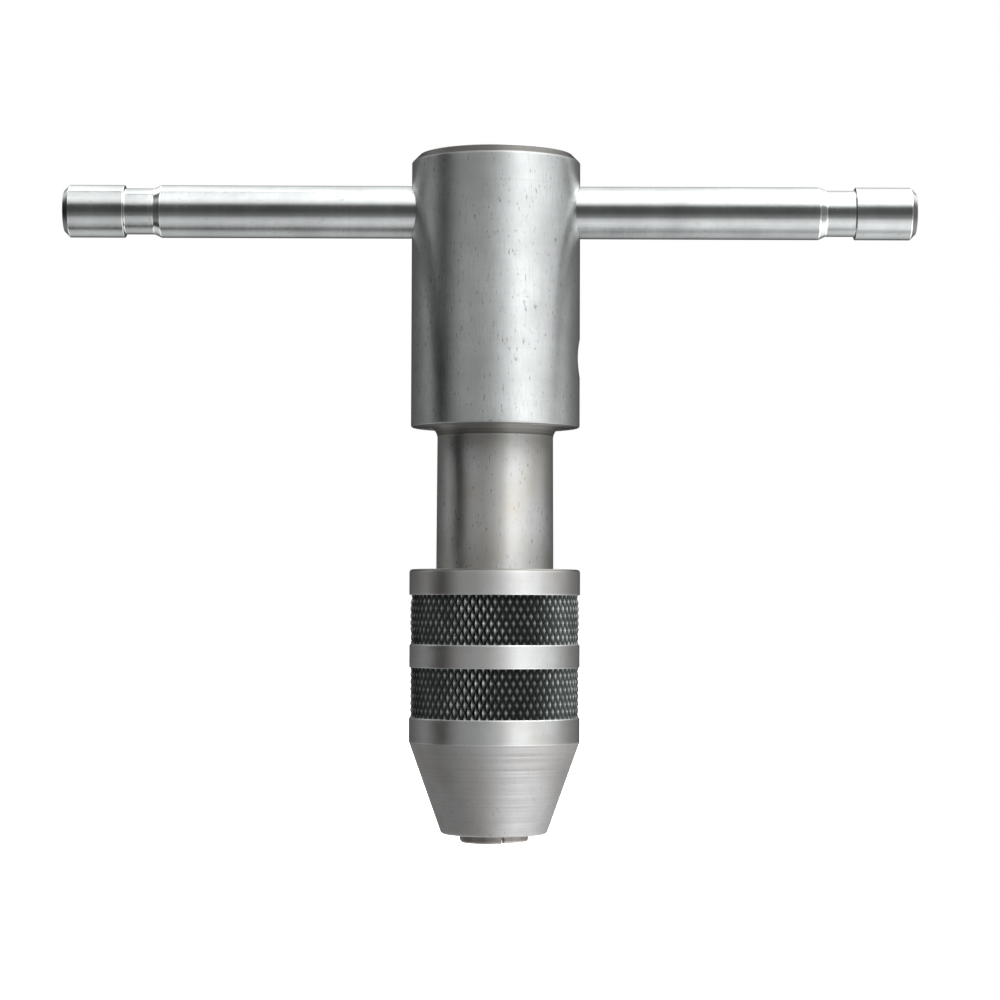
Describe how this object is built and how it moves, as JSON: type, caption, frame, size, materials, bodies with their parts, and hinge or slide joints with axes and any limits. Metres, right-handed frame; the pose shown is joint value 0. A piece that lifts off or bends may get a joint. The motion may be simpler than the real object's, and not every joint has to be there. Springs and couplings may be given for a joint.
{
  "type": "ratchet tap wrench",
  "caption": "T-handle ratchet tap wrench: cylindrical head with a sliding cross bar, turning spindle and a knurled screw-on sleeve that closes self-centring jaws on a tap's square.",
  "frame": {"origin": "on the spindle's axis, in the plane of the longest jaws' tips", "axes": "+Z along the spindle's axis from the jaws up to the head, +X along the cross bar, -Y towards the front"},
  "size_m": [0.1284, 0.0256, 0.1032],
  "materials": {
    "head_steel": "fine turned, lightly pitted",
    "bar_steel": "polished, fine turned",
    "spindle_steel": "turned, brownish in the flare",
    "sleeve_steel": "turned bands and cone, diamond knurl",
    "jaw_steel": "hardened, ground",
    "ratchet_steel": "hardened",
    "spring_steel": "drawn wire",
    "ball_steel": "bearing ball",
    "black_screw": "black oxide"
  },
  "bodies": {
    "head": {"head": "head_steel", "detent_screw": "black_screw", "detent_spring": "spring_steel", "selector_ring": "spring_steel", "thrust_washer": "ratchet_steel"},
    "handle_bar": {"handle_bar": "bar_steel"},
    "detent_ball": {"detent_ball": "ball_steel"},
    "spindle": {"spindle": "spindle_steel", "spindle_ring": "spring_steel"},
    "selector": {"pawl_selector": "ratchet_steel", "pawl_spring": "spring_steel"},
    "pawl": {"pawl": "ratchet_steel"},
    "sleeve_carrier": {"sleeve_stop_ring": "spring_steel"},
    "sleeve": {"sleeve": "sleeve_steel"},
    "jaw_1": {"jaw_1": "jaw_steel", "jaw_spring_1": "spring_steel"},
    "jaw_2": {"jaw_2": "jaw_steel", "jaw_spring_2": "spring_steel"},
    "jaw_3": {"jaw_3": "jaw_steel", "jaw_spring_3": "spring_steel"},
    "jaw_4": {"jaw_4": "jaw_steel", "jaw_spring_4": "spring_steel"}
  },
  "joints": [
    {"name": "bar_slide", "type": "slide", "parent": "head", "child": "handle_bar", "axis": [1, 0, 0], "range_m": [-0.0528, 0.0546]},
    {"name": "detent_ball_lift", "type": "slide", "parent": "head", "child": "detent_ball", "axis": [0, 1, 0], "range_m": [0, 0.0005], "stiffness_N_per_m": 1500, "springref_m": -0.0005, "deforming": ["detent_spring"]},
    {"name": "spindle_turn", "type": "hinge", "parent": "head", "child": "spindle", "pos_m": [0, 0, 0.06212], "axis": [0, 0, 1], "continuous": true},
    {"name": "selector_turn", "type": "hinge", "parent": "head", "child": "selector", "pos_m": [0.0095, 0, 0.07252], "axis": [1, 0, 0], "range_deg": [0, 180]},
    {"name": "pawl_lift", "type": "slide", "parent": "selector", "child": "pawl", "axis": [1, 0, 0], "range_m": [0, 0.00095], "stiffness_N_per_m": 400, "springref_m": -0.0005, "deforming": ["pawl_spring"]},
    {"name": "sleeve_travel", "type": "slide", "parent": "spindle", "child": "sleeve_carrier", "axis": [0, 0, 1], "range_m": [-0.00218, 0.00082]},
    {"name": "sleeve_turn", "type": "hinge", "parent": "sleeve_carrier", "child": "sleeve", "pos_m": [0, 0, 0.0184], "axis": [0, 0, 1], "range_deg": [-496, 186]},
    {"name": "jaw_1_slide", "type": "slide", "parent": "spindle", "child": "jaw_1", "axis": [-0.4909, -0.8712, 0], "range_m": [-0.00031, 0.0008], "deforming": ["jaw_spring_1"]},
    {"name": "jaw_2_slide", "type": "slide", "parent": "spindle", "child": "jaw_2", "axis": [0.8712, -0.4909, 0], "range_m": [-0.00031, 0.0008], "deforming": ["jaw_spring_2"]},
    {"name": "jaw_3_slide", "type": "slide", "parent": "spindle", "child": "jaw_3", "axis": [0.4909, 0.8712, 0], "range_m": [-0.00031, 0.0008], "deforming": ["jaw_spring_3"]},
    {"name": "jaw_4_slide", "type": "slide", "parent": "spindle", "child": "jaw_4", "axis": [-0.8712, 0.4909, 0], "range_m": [-0.00031, 0.0008], "deforming": ["jaw_spring_4"]}
  ],
  "couplings": [
    {"joint": "sleeve_turn", "follows": "sleeve_travel", "rad_per_m": 3957.9},
    {"joint": "jaw_1_slide", "follows": "sleeve_travel", "ratio": -0.36397},
    {"joint": "jaw_2_slide", "follows": "sleeve_travel", "ratio": -0.36397},
    {"joint": "jaw_3_slide", "follows": "sleeve_travel", "ratio": -0.36397},
    {"joint": "jaw_4_slide", "follows": "sleeve_travel", "ratio": -0.36397}
  ]
}
